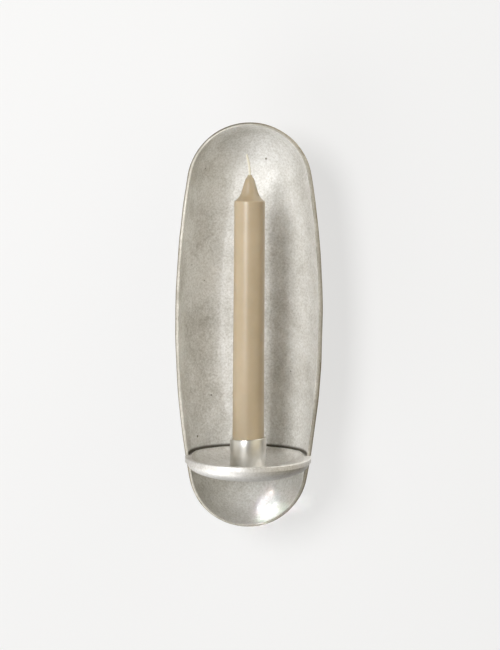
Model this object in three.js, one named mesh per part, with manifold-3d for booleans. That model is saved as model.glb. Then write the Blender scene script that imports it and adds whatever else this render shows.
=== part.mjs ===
// A wall sconce for one dinner candle: a deep oval dish of cast aluminium that hangs on the wall, a round
// drip tray screwed into its lower end, a candle cup screwed into the tray, and the candle that stands in
// the cup.
//
// Millimetres, +Z up, the wall at y = 0 and the open front of the dish towards -Y. The origin is on the
// wall, on the hanger plate just above its keyhole. Most pieces are drawn in the dish's own frame, whose y
// = 0 is the rim plane and whose z = 0 is half way up the dish, and one group carries them all to the
// part's frame.

import * as THREE from "three";
import { mergeVertices } from "three/addons/utils/BufferGeometryUtils.js";
import Module from "manifold-3d";

// ------------------------------------------------------------------------------ driving dimensions

// The dish
const DISH_LENGTH = 282;
const DISH_WIDTH = 102.8;
const TOP_END_RADIUS = 43.5; // radius of the outline's top end
const WIDEST_ABOVE_MIDDLE = 3.5; // the outline is widest a little above half way
const DISH_DEPTH = 41; // inside, from the rim plane to the deepest place
const END_RISE = 2.5; // how much shallower the dish is towards its ends
const DISH_WALL = 3.4;
const RIM_WIDTH = 3.6;
const RIM_ROUND = 1.6; // radius of the rim's outer edge
const SECTION_POWER = 2.4; // 2 is an ellipse, more is boxier

// How it hangs
const WALL_SPACE = 7.6; // between the dish's back and the wall
const HANGER_ABOVE_MIDDLE = 85;
const PLATE_WIDTH = 46;
const PLATE_HEIGHT = 30;
const PLATE_THICKNESS = 2.2;
const PLATE_CORNER = 6;
const PLATE_TOP = 9; // above the origin
const KEYHOLE_ENTRY = 9.6; // diameter that lets an 8 mm screw head in
const KEYHOLE_SLOT = 4.8; // width that holds a 4 mm shank
const KEYHOLE_TOP = -3; // where the shank's axis comes to rest is half a slot width below this
const KEYHOLE_DROP = 9; // from the slot's upper centre to the entry's centre
const HANGER_SCREW_SPACING = 32;
const HANGER_PAD_RADIUS = 5.5;
const HANGER_THREAD_DEPTH = 7;
const BUMPER_BELOW_MIDDLE = 62;
const BUMPER_SPACING = 36;
const BUMPER_RADIUS = 5.5;
const BUMPER_HEIGHT = 4;
const BUMPER_STEM_RADIUS = 1.8;
const BUMPER_STEM_LENGTH = 5;

// The drip tray
const TRAY_BELOW_MIDDLE = 89.4; // the tray's upper edge, below half way up the dish
const TRAY_FORWARD = 3; // the tray's axis, in front of the rim plane
const TRAY_SIDE_INSET = 0.2; // how far the tray's side stays inside the dish's outline
const TRAY_WALL = 2.6;
const TRAY_REAR_WALL = 1.8;
const TRAY_INSIDE_DEPTH = 10.5;
const TRAY_FLOOR = 3.7;
const LIP_HEIGHT = 4;
const LIP_ROUND = 0.9;
const TRAY_SCREW_SPACING = 20;
const TRAY_SCREW_DROP = 10.2; // below the tray's upper edge
const TRAY_BOSS_RADIUS = 4.8;
const TRAY_BOSS_LENGTH = 12;
const TRAY_THREAD_DEPTH = 5; // how far the threaded holes run into the bosses
const TRAY_PAD_PROUD = 0.5; // least height of the dish's pads round the tray screws

// The candle and its cup
const CANDLE_LENGTH = 201.5;
const CANDLE_DIAMETER = 22; // where it enters the cup
const CANDLE_TOP_DIAMETER = 21.1;
const TIP_HEIGHT = 17.6; // the cone above the shoulder
const WICK_DIAMETER = 1.8;
const WICK_STANDS = 14; // above the wax
const WICK_LEAN = 2.2; // its free end, to the left of the axis
const CUP_WALL = 1.45;
const CUP_SEAT_DEPTH = 20.1; // how deep the candle stands in it
const CUP_FLOOR = 3.2;

// Fasteners: each has a shank radius, a head radius and a head height
const M4_PAN = { shank: 2, head: 4, headHeight: 2.4, slot: 0.9 };
const M3_COUNTERSUNK = { shank: 1.5, head: 2.9, headHeight: 1.7, slot: 0.7 };
const HEAD_SUNK = 0.15; // how far a countersunk head lies below the plate's face
const M4_WASHER = { inner: 2.2, outer: 4.5, thickness: 0.8 };
const CUP_WASHER = { inner: 2.2, outer: 6, thickness: 1 };

// Clearances
const SEAT_GAP = 0.1; // between faces that rest on each other
const TRAY_GAP = 0.5; // between the tray and the dish
const CUP_CLEARANCE = 0.2; // round the candle
const WICK_CLEARANCE = 0.15;
const THREAD_CLEARANCE = 0.1; // round a shank in its threaded hole
const HOLE_CLEARANCE = 0.25; // round a shank in a plain hole
const BUMPER_CLEARANCE = 0.1; // round a bumper's stem
const SCREW_END_GAP = 1; // between a screw's tip and the bottom of its blind hole
const CUT_PAST = 1; // how far a cutting shape runs past the face it opens

// ------------------------------------------------------------------------------------ what follows

const HALF_LENGTH = DISH_LENGTH / 2;
const HALF_WIDTH = DISH_WIDTH / 2;
const RIM_FROM_WALL = DISH_DEPTH + DISH_WALL + WALL_SPACE;
const HANGER_FACE = RIM_FROM_WALL - PLATE_THICKNESS; // the plate's front, in the dish's frame
const BUMPER_FACE = RIM_FROM_WALL - BUMPER_HEIGHT;
const TRAY_Z = -TRAY_BELOW_MIDDLE;
const TRAY_FLOOR_Z = TRAY_Z - TRAY_INSIDE_DEPTH; // top of the floor
const TRAY_BOTTOM_Z = TRAY_FLOOR_Z - TRAY_FLOOR;
const TRAY_SCREW_Z = TRAY_Z - TRAY_SCREW_DROP;
const CUP_BASE_Z = TRAY_FLOOR_Z + SEAT_GAP;
const CUP_INNER_RADIUS = CANDLE_DIAMETER / 2 + CUP_CLEARANCE;
const CUP_OUTER_RADIUS = CUP_INNER_RADIUS + CUP_WALL;
const CUP_HEIGHT = CUP_FLOOR + CUP_SEAT_DEPTH;
const CANDLE_BASE_Z = CUP_BASE_Z + CUP_FLOOR + SEAT_GAP;

// --------------------------------------------------------------------------------- solid modelling

const wasm = await Module();
wasm.setup();

// A closed three.js geometry as a manifold-3d solid.
function solid(geometry) {
  const bare = new THREE.BufferGeometry();
  bare.setAttribute("position", geometry.getAttribute("position"));
  if (geometry.index) bare.setIndex(geometry.index);
  const merged = mergeVertices(bare, 1e-4);
  return new wasm.Manifold(
    new wasm.Mesh({
      numProp: 3,
      vertProperties: merged.attributes.position.array,
      triVerts: new Uint32Array(merged.index.array),
    }),
  );
}

// The solid back as a three.js geometry.
function surface(manifold) {
  const mesh = manifold.getMesh();
  const geometry = new THREE.BufferGeometry();
  geometry.setAttribute("position", new THREE.BufferAttribute(mesh.vertProperties, mesh.numProp));
  geometry.setIndex(new THREE.BufferAttribute(mesh.triVerts, 1));
  geometry.computeVertexNormals();
  return geometry;
}

// A body of rings, each a closed loop of the same number of points that runs clockwise seen from the last
// ring. The first and the last ring lie flat on themselves, at a point or along a line, so the body needs
// no caps.
function loft(rings) {
  const count = rings[0].length;
  const positions = rings.flat().flatMap((p) => [p.x, p.y, p.z]);
  const index = [];
  for (let ring = 0; ring + 1 < rings.length; ring++) {
    for (let i = 0; i < count; i++) {
      const here = ring * count + i;
      const next = ring * count + ((i + 1) % count);
      index.push(here, next, here + count);
      index.push(next, next + count, here + count);
    }
  }
  const geometry = new THREE.BufferGeometry();
  geometry.setAttribute("position", new THREE.Float32BufferAttribute(positions, 3));
  geometry.setIndex(index);
  return solid(geometry);
}

// A turned body about the Z axis from [radius, z] points, listed up the outside.
function turned(points, segments) {
  const profile = points.map(([r, z]) => new THREE.Vector2(r, z));
  return new THREE.LatheGeometry(profile, segments).rotateX(Math.PI / 2);
}

// A round rod along Y, from one y to another.
function rodAlongY(radius, fromY, toY, x, z, segments = 28) {
  const rod = new THREE.CylinderGeometry(radius, radius, toY - fromY, segments);
  return solid(rod.translate(x, (fromY + toY) / 2, z));
}

// Points of an arc, as [x, y], from one angle to another in degrees, both ends included.
function arc(centreX, centreY, radius, fromDegrees, toDegrees, steps) {
  return Array.from({ length: steps + 1 }, (_, i) => {
    const angle = THREE.MathUtils.degToRad(fromDegrees + ((toDegrees - fromDegrees) * i) / steps);
    return [centreX + radius * Math.cos(angle), centreY + radius * Math.sin(angle)];
  });
}

// -------------------------------------------------------------------------------- the dish's shape

// The outline is an oval of four arcs. Each side is one long arc, and it runs smoothly into a short arc at
// each end.
const topCentreZ = HALF_LENGTH - TOP_END_RADIUS;
const topRise = topCentreZ - WIDEST_ABOVE_MIDDLE;
const SIDE_RADIUS =
  (HALF_WIDTH ** 2 + topRise ** 2 - TOP_END_RADIUS ** 2) / (2 * (HALF_WIDTH - TOP_END_RADIUS));
const sideCentreX = SIDE_RADIUS - HALF_WIDTH; // on the other side of the dish's axis
const lowerReach = HALF_LENGTH + WIDEST_ABOVE_MIDDLE;
const BOTTOM_END_RADIUS =
  (SIDE_RADIUS ** 2 - sideCentreX ** 2 - lowerReach ** 2) / (2 * (SIDE_RADIUS - lowerReach));
const bottomCentreZ = BOTTOM_END_RADIUS - HALF_LENGTH;
const topAngle = Math.atan2(topRise, sideCentreX);
const bottomAngle = Math.atan2(bottomCentreZ - WIDEST_ABOVE_MIDDLE, sideCentreX);

// The dish's spine is the line between the two end centres. Every normal of the outline meets it, so a
// station is a foot on the spine, the outline's normal there and the reach from the foot to the outline.
function station(angle, centreX, centreZ, radius) {
  const normal = new THREE.Vector2(Math.cos(angle), Math.sin(angle));
  const toSpine = Math.abs(normal.x) < 1e-9 ? 0 : centreX / normal.x;
  return { footZ: centreZ + toSpine * normal.y, normal, reach: radius - toSpine };
}

function stations(endSteps, sideSteps) {
  const right = [];
  const sweep = (from, to, steps, centreX, centreZ, radius) => {
    for (let i = 0; i < steps; i++) {
      right.push(station(from + ((to - from) * i) / steps, centreX, centreZ, radius));
    }
  };
  sweep(-Math.PI / 2, bottomAngle, endSteps, 0, bottomCentreZ, BOTTOM_END_RADIUS);
  sweep(bottomAngle, topAngle, sideSteps, sideCentreX, WIDEST_ABOVE_MIDDLE, SIDE_RADIUS);
  sweep(topAngle, Math.PI / 2, endSteps, 0, topCentreZ, TOP_END_RADIUS);
  const top = station(Math.PI / 2, 0, topCentreZ, TOP_END_RADIUS);
  const mirror = (s) => ({ ...s, normal: new THREE.Vector2(-s.normal.x, s.normal.y) });
  return [top, ...right.toReversed(), ...right.slice(1).map(mirror)];
}

// The station whose normal passes through a point.
function stationThrough(x, z) {
  const across = Math.abs(x);
  const sideAngle = Math.atan2(z - WIDEST_ABOVE_MIDDLE, across + sideCentreX);
  if (sideAngle > topAngle) {
    return station(Math.atan2(z - topCentreZ, across), 0, topCentreZ, TOP_END_RADIUS);
  }
  if (sideAngle < bottomAngle) {
    return station(Math.atan2(z - bottomCentreZ, across), 0, bottomCentreZ, BOTTOM_END_RADIUS);
  }
  return station(sideAngle, sideCentreX, WIDEST_ABOVE_MIDDLE, SIDE_RADIUS);
}

// How deep a dish is at a foot of the spine, with `extra` added behind its inside face.
function spineDepth(footZ, extra) {
  const along = (footZ - WIDEST_ABOVE_MIDDLE) / topRise;
  return DISH_DEPTH + extra - END_RISE * along * along;
}

// Depth at a point of a dish that starts `inset` inside the outline.
function depthAt(x, z, inset, extra) {
  const s = stationThrough(x, z);
  const out = Math.hypot(x, z - s.footZ);
  const share = Math.min(1, out / (s.reach - inset));
  return spineDepth(s.footZ, extra) * (1 - share ** SECTION_POWER) ** (1 / SECTION_POWER);
}

// Half the outline's width at a height.
function halfWidthAt(z) {
  let low = 0;
  let high = HALF_WIDTH;
  while (high - low > 1e-6) {
    const x = (low + high) / 2;
    const s = stationThrough(x, z);
    if (Math.hypot(x, z - s.footZ) < s.reach) low = x;
    else high = x;
  }
  return low;
}

// A solid dish: what lies between a front plane and the curved back. `front` is the front's y, `round` the
// radius of its edge.
function dishBlank({ inset, extra, front, round, endSteps = 9, sideSteps = 12, depthSteps = 9 }) {
  const around = stations(endSteps, sideSteps);
  const ring = (place) =>
    around.map((s) => {
      const [out, y] = place(s);
      return new THREE.Vector3(s.normal.x * out, y, s.footZ + s.normal.y * out);
    });
  const rings = [ring(() => [0, front])];
  if (round > 0) {
    for (const [dx, dy] of arc(-round, round, round, -90, -22.5, 3)) {
      rings.push(ring((s) => [s.reach - inset + dx, front + dy]));
    }
  } else {
    rings.push(ring((s) => [s.reach - inset, front]));
  }
  const edge = Math.max(front + round, 0);
  for (let i = 0; i < depthSteps; i++) {
    const angle = (Math.PI / 2) * (i / depthSteps);
    const share = Math.cos(angle) ** (2 / SECTION_POWER);
    const drop = Math.sin(angle) ** (2 / SECTION_POWER);
    rings.push(
      ring((s) => [(s.reach - inset) * share, edge + (spineDepth(s.footZ, extra) - edge) * drop]),
    );
  }
  rings.push(ring((s) => [0, spineDepth(s.footZ, extra)]));
  return loft(rings);
}

// The depths of a dish under the edge of a round pad.
function depthsUnder(x, z, radius, inset, extra) {
  return arc(x, z, radius, 0, 330, 11).map(([px, pz]) => depthAt(px, pz, inset, extra));
}

// A pad on the dish's back, rooted half way into its wall.
function backPad(radius, face, x, z) {
  const root = Math.min(...depthsUnder(x, z, radius, 0, DISH_WALL)) - DISH_WALL / 2;
  return rodAlongY(radius, root, face, x, z);
}

const sides = [-1, 1];
const trayScrewX = TRAY_SCREW_SPACING / 2;
const insideSeatY =
  Math.min(...depthsUnder(trayScrewX, TRAY_SCREW_Z, TRAY_BOSS_RADIUS, RIM_WIDTH, 0)) - TRAY_PAD_PROUD;
const outsideSeatY =
  Math.max(...depthsUnder(trayScrewX, TRAY_SCREW_Z, TRAY_BOSS_RADIUS, 0, DISH_WALL)) + TRAY_PAD_PROUD;
const hangerHoleZ = HANGER_ABOVE_MIDDLE + PLATE_TOP - PLATE_HEIGHT / 2;

// -------------------------------------------------------------------------------------- the pieces

function dish() {
  const pads = [];
  const inside = [];
  const holes = [];
  for (const side of sides) {
    const hangerX = (side * HANGER_SCREW_SPACING) / 2;
    const hangerFace = HANGER_FACE - SEAT_GAP;
    pads.push(backPad(HANGER_PAD_RADIUS, hangerFace, hangerX, hangerHoleZ));
    const tapped = M3_COUNTERSUNK.shank + THREAD_CLEARANCE;
    holes.push(
      rodAlongY(tapped, hangerFace - HANGER_THREAD_DEPTH, hangerFace + CUT_PAST, hangerX, hangerHoleZ, 16),
    );

    const bumperX = (side * BUMPER_SPACING) / 2;
    const bumperFace = BUMPER_FACE - SEAT_GAP;
    const stemHole = BUMPER_STEM_RADIUS + BUMPER_CLEARANCE;
    const stemDepth = BUMPER_STEM_LENGTH + SEAT_GAP;
    const bumperZ = -BUMPER_BELOW_MIDDLE;
    pads.push(backPad(BUMPER_RADIUS, bumperFace, bumperX, bumperZ));
    holes.push(rodAlongY(stemHole, bumperFace - stemDepth, bumperFace + CUT_PAST, bumperX, bumperZ, 16));

    const screwX = side * trayScrewX;
    inside.push(rodAlongY(TRAY_BOSS_RADIUS, insideSeatY, outsideSeatY, screwX, TRAY_SCREW_Z));
    const clear = M4_PAN.shank + HOLE_CLEARANCE;
    holes.push(
      rodAlongY(clear, insideSeatY - CUT_PAST, outsideSeatY + CUT_PAST, screwX, TRAY_SCREW_Z, 20),
    );
  }
  let body = dishBlank({ inset: 0, extra: DISH_WALL, front: 0, round: RIM_ROUND });
  for (const pad of pads) body = body.add(pad);
  body = body.subtract(dishBlank({ inset: RIM_WIDTH, extra: 0, front: -CUT_PAST, round: 0 }));
  for (const pad of inside) body = body.add(pad);
  for (const hole of holes) body = body.subtract(hole);
  return surface(body);
}

// The tray's plan, as points about its own axis. In front of the rim it is round. Behind the rim it steps
// in and follows the dish's inside at the height z, `wall` and the gap clear of it.
const TRAY_RADIUS = halfWidthAt(TRAY_Z) - TRAY_SIDE_INSET;
const LAP_ANGLE = Math.asin((TRAY_FORWARD - SEAT_GAP) / TRAY_RADIUS);

function rearReach(angle, z, wall) {
  const inset = RIM_WIDTH + TRAY_GAP + wall;
  let low = 0;
  let high = TRAY_RADIUS + DISH_DEPTH;
  while (high - low > 1e-6) {
    const reach = (low + high) / 2;
    const x = reach * Math.cos(angle);
    const y = reach * Math.sin(angle) - TRAY_FORWARD;
    const edge = halfWidthAt(z) - inset;
    const clear = Math.abs(x) < edge && y < Math.max(0, depthAt(x, z, inset, 0) - TRAY_GAP - wall);
    if (clear) low = reach;
    else high = reach;
  }
  return low;
}

// One level of a bowl. `share` is how much of its full size the bowl keeps there, and `inset` a further
// step in.
function trayRing(z, share, inset, outside) {
  const frontSteps = 32;
  const rearSteps = 24;
  const wall = outside ? 0 : TRAY_REAR_WALL;
  const fullZ = Math.max(z, TRAY_Z - LIP_HEIGHT);
  const frontRadius = outside ? TRAY_RADIUS : TRAY_RADIUS - TRAY_WALL;
  const sideReach = outside ? TRAY_RADIUS : rearReach(LAP_ANGLE, fullZ, wall);
  const ring = [];
  const place = (angle, reach) => {
    const kept = reach * (1 - inset / TRAY_RADIUS);
    ring.push(new THREE.Vector3(kept * Math.cos(angle), kept * Math.sin(angle) - TRAY_FORWARD, z));
  };
  for (let i = 0; i <= frontSteps; i++) {
    const angle = LAP_ANGLE - ((Math.PI + 2 * LAP_ANGLE) * i) / frontSteps;
    const blend = Math.abs(Math.cos(angle)) ** 6;
    place(angle, share * THREE.MathUtils.lerp(frontRadius, sideReach, blend));
  }
  for (let i = 0; i <= rearSteps; i++) {
    const angle = Math.PI - LAP_ANGLE - ((Math.PI - 2 * LAP_ANGLE) * i) / rearSteps;
    const full = rearReach(angle, fullZ, wall);
    place(angle, Math.min(share * full, rearReach(angle, Math.min(z, fullZ), wall)));
  }
  return ring;
}

// A bowl from its levels, each [z, share, inset].
function bowl(levels, outside) {
  return loft(levels.map(([z, share, inset]) => trayRing(z, share, inset, outside)));
}

function tray() {
  const lipBase = TRAY_Z - LIP_HEIGHT;
  const curve = (topZ, bottomZ, floorShare, steps) =>
    Array.from({ length: steps + 1 }, (_, i) => {
      const angle = (Math.PI / 2) * (i / steps);
      const share = floorShare + (1 - floorShare) * Math.cos(angle);
      return [topZ + (bottomZ - topZ) * Math.sin(angle), share, 0];
    });
  const lip = arc(LIP_ROUND, -LIP_ROUND, LIP_ROUND, 90, 180, 3).map(([inset, down]) => [
    TRAY_Z + down,
    1,
    inset,
  ]);
  const outer = bowl(
    [
      [TRAY_Z, 0, 0],
      ...lip,
      [lipBase + LIP_ROUND / 2, 1, 0],
      [lipBase, 1, LIP_ROUND / 2],
      ...curve(lipBase, TRAY_BOTTOM_Z, 0.36, 7).slice(1).map(([z, share]) => [z, share, LIP_ROUND / 2]),
      [TRAY_BOTTOM_Z, 0, 0],
    ],
    true,
  );
  const hollow = bowl(
    [
      [TRAY_Z + CUT_PAST, 0, 0],
      [TRAY_Z + CUT_PAST, 1, 0],
      ...curve(TRAY_Z, TRAY_FLOOR_Z, 0.4, 7),
      [TRAY_FLOOR_Z, 0, 0],
    ],
    false,
  );
  const bossEnd = insideSeatY - SEAT_GAP;
  const bossStart = bossEnd - TRAY_BOSS_LENGTH;
  const threadEnd = bossEnd - TRAY_THREAD_DEPTH;
  let body = outer;
  for (const side of sides) {
    const x = side * trayScrewX;
    const spotFace = TRAY_BOSS_RADIUS + TRAY_GAP;
    body = body.add(rodAlongY(TRAY_BOSS_RADIUS, bossStart, bossEnd, x, TRAY_SCREW_Z));
    body = body.subtract(rodAlongY(spotFace, bossEnd, DISH_DEPTH, x, TRAY_SCREW_Z));
  }
  body = body.subtract(hollow);
  for (const side of sides) {
    const x = side * trayScrewX;
    const tapped = M4_PAN.shank + THREAD_CLEARANCE;
    body = body.subtract(rodAlongY(tapped, threadEnd, bossEnd + CUT_PAST, x, TRAY_SCREW_Z, 20));
  }
  const screwHole = turned(
    [
      [0, TRAY_BOTTOM_Z - CUT_PAST],
      [M4_PAN.shank + HOLE_CLEARANCE, TRAY_BOTTOM_Z - CUT_PAST],
      [M4_PAN.shank + HOLE_CLEARANCE, TRAY_FLOOR_Z + CUT_PAST],
      [0, TRAY_FLOOR_Z + CUT_PAST],
    ],
    20,
  ).translate(0, -TRAY_FORWARD, 0);
  return surface(body.subtract(solid(screwHole)));
}

function cup() {
  const threadRadius = M4_PAN.shank + THREAD_CLEARANCE;
  const edge = CUP_WALL / 3;
  return turned(
    [
      [threadRadius, 0],
      [CUP_OUTER_RADIUS, 0],
      [CUP_OUTER_RADIUS, CUP_HEIGHT - edge],
      [CUP_OUTER_RADIUS - edge, CUP_HEIGHT],
      [CUP_INNER_RADIUS + edge, CUP_HEIGHT],
      [CUP_INNER_RADIUS, CUP_HEIGHT - edge],
      [CUP_INNER_RADIUS, CUP_FLOOR],
      [threadRadius, CUP_FLOOR],
      [threadRadius, 0],
    ],
    48,
  );
}

function wax() {
  const bore = WICK_DIAMETER / 2 + WICK_CLEARANCE;
  const shoulder = CANDLE_LENGTH - TIP_HEIGHT;
  const top = CANDLE_TOP_DIAMETER / 2;
  const tip = (rise, share) => [top * share, shoulder + TIP_HEIGHT * rise];
  return turned(
    [
      [bore, 0],
      [CANDLE_DIAMETER / 2 - 0.8, 0],
      [CANDLE_DIAMETER / 2, 0.8],
      [CANDLE_DIAMETER / 2, CUP_SEAT_DEPTH],
      [top, shoulder - 0.7],
      tip(0, 0.97),
      tip(0.06, 0.82),
      tip(0.13, 0.71),
      tip(0.24, 0.59),
      tip(0.45, 0.49),
      tip(0.7, 0.39),
      tip(0.88, 0.28),
      tip(0.97, 0.19),
      [bore, CANDLE_LENGTH],
      [bore, 0],
    ],
    40,
  );
}

// The wick runs the candle's whole length and leans over where it stands free.
function wick() {
  const section = new THREE.Shape(
    arc(0, 0, WICK_DIAMETER / 2, 0, 315, 7).map(([x, y]) => new THREE.Vector2(x, y)),
  );
  const path = new THREE.CatmullRomCurve3([
    new THREE.Vector3(0, 0, SEAT_GAP),
    new THREE.Vector3(0, 0, CANDLE_LENGTH / 2),
    new THREE.Vector3(0, 0, CANDLE_LENGTH - WICK_STANDS / 4),
    new THREE.Vector3(0, 0, CANDLE_LENGTH + WICK_STANDS / 8),
    new THREE.Vector3(-WICK_LEAN * 0.3, 0, CANDLE_LENGTH + WICK_STANDS * 0.6),
    new THREE.Vector3(-WICK_LEAN, 0, CANDLE_LENGTH + WICK_STANDS),
  ]);
  return new THREE.ExtrudeGeometry(section, { steps: 60, extrudePath: path });
}

// A screw along +Z: its tip points up, and its head's underside is at z = 0.
function panScrew({ shank, head, headHeight, slot }, length) {
  const body = turned(
    [
      [0, -headHeight],
      [head * 0.6, -headHeight],
      [head, -headHeight * 0.5],
      [head, 0],
      [shank, 0],
      [shank, length - 0.6],
      [shank - 0.6, length],
      [0, length],
    ],
    20,
  );
  return surface(cutCross(solid(body), head, headHeight, slot));
}

function countersunkScrew({ shank, head, headHeight, slot }, length) {
  const body = turned(
    [
      [0, 0],
      [head, 0],
      [shank, headHeight],
      [shank, length - 0.6],
      [shank - 0.6, length],
      [0, length],
    ],
    20,
  );
  return surface(cutCross(solid(body), head, 0, slot));
}

// A cross recess in the underside of a head whose face is `below` under z = 0.
function cutCross(body, head, below, slot) {
  const depth = 1.1;
  let cut = body;
  for (const turn of [0, Math.PI / 2]) {
    const bar = new THREE.BoxGeometry(head * 1.1, slot, 2 * depth);
    cut = cut.subtract(solid(bar.rotateZ(turn).translate(0, 0, -below)));
  }
  return cut;
}

function washer({ inner, outer, thickness }) {
  return turned(
    [
      [inner, 0],
      [outer, 0],
      [outer, thickness],
      [inner, thickness],
      [inner, 0],
    ],
    28,
  );
}

// The hanger plate stands in the XZ plane, drawn about the part's origin and thickened along Y.
function hangerPlate() {
  const plate = new THREE.Shape();
  const right = PLATE_WIDTH / 2;
  const low = PLATE_TOP - PLATE_HEIGHT;
  const r = PLATE_CORNER;
  plate.moveTo(right - r, low);
  plate.absarc(right - r, low + r, r, -Math.PI / 2, 0);
  plate.absarc(right - r, PLATE_TOP - r, r, 0, Math.PI / 2);
  plate.absarc(r - right, PLATE_TOP - r, r, Math.PI / 2, Math.PI);
  plate.absarc(r - right, low + r, r, Math.PI, 1.5 * Math.PI);
  plate.closePath();

  const slot = KEYHOLE_SLOT / 2;
  const entry = KEYHOLE_ENTRY / 2;
  const slotZ = KEYHOLE_TOP - slot;
  const entryZ = slotZ - KEYHOLE_DROP;
  const meet = Math.acos(slot / entry); // where the slot's side meets the round entry
  const keyhole = new THREE.Path();
  keyhole.absarc(0, slotZ, slot, 0, Math.PI);
  keyhole.absarc(0, entryZ, entry, Math.PI - meet, 2 * Math.PI + meet);
  keyhole.closePath();
  plate.holes.push(keyhole);

  const flat = new THREE.ExtrudeGeometry(plate, {
    depth: PLATE_THICKNESS,
    bevelEnabled: false,
    curveSegments: 8,
  });
  let body = solid(flat.rotateX(Math.PI / 2));
  const clear = HOLE_CLEARANCE / 2;
  for (const side of sides) {
    const sink = turned(
      [
        [0, -CUT_PAST],
        [M3_COUNTERSUNK.head + clear, -CUT_PAST],
        [M3_COUNTERSUNK.head + clear, HEAD_SUNK],
        [M3_COUNTERSUNK.shank + clear, HEAD_SUNK + M3_COUNTERSUNK.headHeight],
        [M3_COUNTERSUNK.shank + clear, PLATE_THICKNESS + CUT_PAST],
        [0, PLATE_THICKNESS + CUT_PAST],
      ],
      20,
    );
    sink.rotateX(Math.PI / 2).translate((side * HANGER_SCREW_SPACING) / 2, 0, low + PLATE_HEIGHT / 2);
    body = body.subtract(solid(sink));
  }
  return surface(body);
}

// A rubber bumper along +Z: a round foot with a stem that is pressed into the dish's pad.
function bumper() {
  return turned(
    [
      [0, 0],
      [BUMPER_RADIUS * 0.75, 0],
      [BUMPER_RADIUS, 1.2],
      [BUMPER_RADIUS, BUMPER_HEIGHT],
      [BUMPER_STEM_RADIUS, BUMPER_HEIGHT],
      [BUMPER_STEM_RADIUS, BUMPER_HEIGHT + BUMPER_STEM_LENGTH],
      [0, BUMPER_HEIGHT + BUMPER_STEM_LENGTH],
    ],
    28,
  );
}

// --------------------------------------------------------------------------------------- materials

const finish = (color, roughness, metalness) =>
  new THREE.MeshStandardMaterial({ color, roughness, metalness });
const castAluminium = finish("#c9c7bf", 0.42, 1);
const turnedAluminium = finish("#d2d0ca", 0.34, 1);
const zincSteel = finish("#a9abad", 0.38, 1);
const candleWax = finish("#c9b596", 0.5, 0);
const cotton = finish("#efe9d6", 0.9, 0);
const rubber = finish("#2c2b2a", 0.8, 0);

function piece(name, geometry, material, x = 0, y = 0, z = 0) {
  const mesh = new THREE.Mesh(geometry, material);
  mesh.name = name;
  mesh.position.set(x, y, z);
  return mesh;
}

// ---------------------------------------------------------------------------------------- assembly

const sconce = new THREE.Group();
const inDish = new THREE.Group();
inDish.position.set(0, -RIM_FROM_WALL, -HANGER_ABOVE_MIDDLE);
sconce.add(inDish);

inDish.add(piece("back_dish", dish(), castAluminium));
inDish.add(piece("drip_tray", tray(), castAluminium));
inDish.add(piece("candle_cup", cup(), turnedAluminium, 0, -TRAY_FORWARD, CUP_BASE_Z));
inDish.add(piece("candle_wax", wax(), candleWax, 0, -TRAY_FORWARD, CANDLE_BASE_Z));
inDish.add(piece("candle_wick", wick(), cotton, 0, -TRAY_FORWARD, CANDLE_BASE_Z));

// Under the tray, a washer and a screw hold the cup.
const cupWasherZ = TRAY_BOTTOM_Z - SEAT_GAP - CUP_WASHER.thickness;
const cupScrewZ = cupWasherZ - SEAT_GAP;
const cupScrewLength = CUP_BASE_Z + CUP_FLOOR - SEAT_GAP - cupScrewZ;
inDish.add(piece("cup_washer", washer(CUP_WASHER), zincSteel, 0, -TRAY_FORWARD, cupWasherZ));
inDish.add(piece("cup_screw", panScrew(M4_PAN, cupScrewLength), zincSteel, 0, -TRAY_FORWARD, cupScrewZ));

// Behind the dish, two washers and screws hold the tray.
const trayWasherY = outsideSeatY + SEAT_GAP;
const trayScrewY = trayWasherY + M4_WASHER.thickness + SEAT_GAP;
const trayThreadEnd = insideSeatY - SEAT_GAP - TRAY_THREAD_DEPTH;
const trayScrewLength = trayScrewY - trayThreadEnd - SCREW_END_GAP;
for (const side of sides) {
  const word = side < 0 ? "left" : "right";
  const x = side * trayScrewX;
  const ring = washer(M4_WASHER).rotateX(Math.PI / 2);
  const screw = panScrew(M4_PAN, trayScrewLength).rotateX(Math.PI / 2);
  const ringY = trayWasherY + M4_WASHER.thickness;
  inDish.add(piece(`tray_washer_${word}`, ring, zincSteel, x, ringY, TRAY_SCREW_Z));
  inDish.add(piece(`tray_screw_${word}`, screw, zincSteel, x, trayScrewY, TRAY_SCREW_Z));
}

// On the back, the hanger plate with its two screws, and two rubber bumpers.
sconce.add(piece("hanger_plate", hangerPlate(), zincSteel));
const hangerScrewY = RIM_FROM_WALL - HEAD_SUNK;
const hangerScrewLength = PLATE_THICKNESS + HANGER_THREAD_DEPTH - HEAD_SUNK - SCREW_END_GAP;
for (const side of sides) {
  const word = side < 0 ? "left" : "right";
  const screw = countersunkScrew(M3_COUNTERSUNK, hangerScrewLength).rotateX(Math.PI / 2);
  const screwX = (side * HANGER_SCREW_SPACING) / 2;
  inDish.add(piece(`hanger_screw_${word}`, screw, zincSteel, screwX, hangerScrewY, hangerHoleZ));
  const foot = bumper().rotateX(Math.PI / 2);
  const footX = (side * BUMPER_SPACING) / 2;
  inDish.add(piece(`wall_bumper_${word}`, foot, rubber, footX, RIM_FROM_WALL, -BUMPER_BELOW_MIDDLE));
}

export default sconce;
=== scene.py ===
# %% [markdown]
# # A wall sconce candle holder
# This file makes the looks of a cast-aluminium wall sconce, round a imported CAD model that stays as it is.
# The real object is a deep oval dish, cast in sand and rubbed down by hand, with a small bowl across its
# lower end. A turned cup in the bowl holds one candle. Each piece is modelled as its own object with
# Blender's editing tools, then it rides on the CAD body that it belongs to.

# %% Load the frame
from math import asin, atan2, cos, hypot, pi, radians, sin

import bmesh
import bpy
from mathutils import Matrix, Vector


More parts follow.
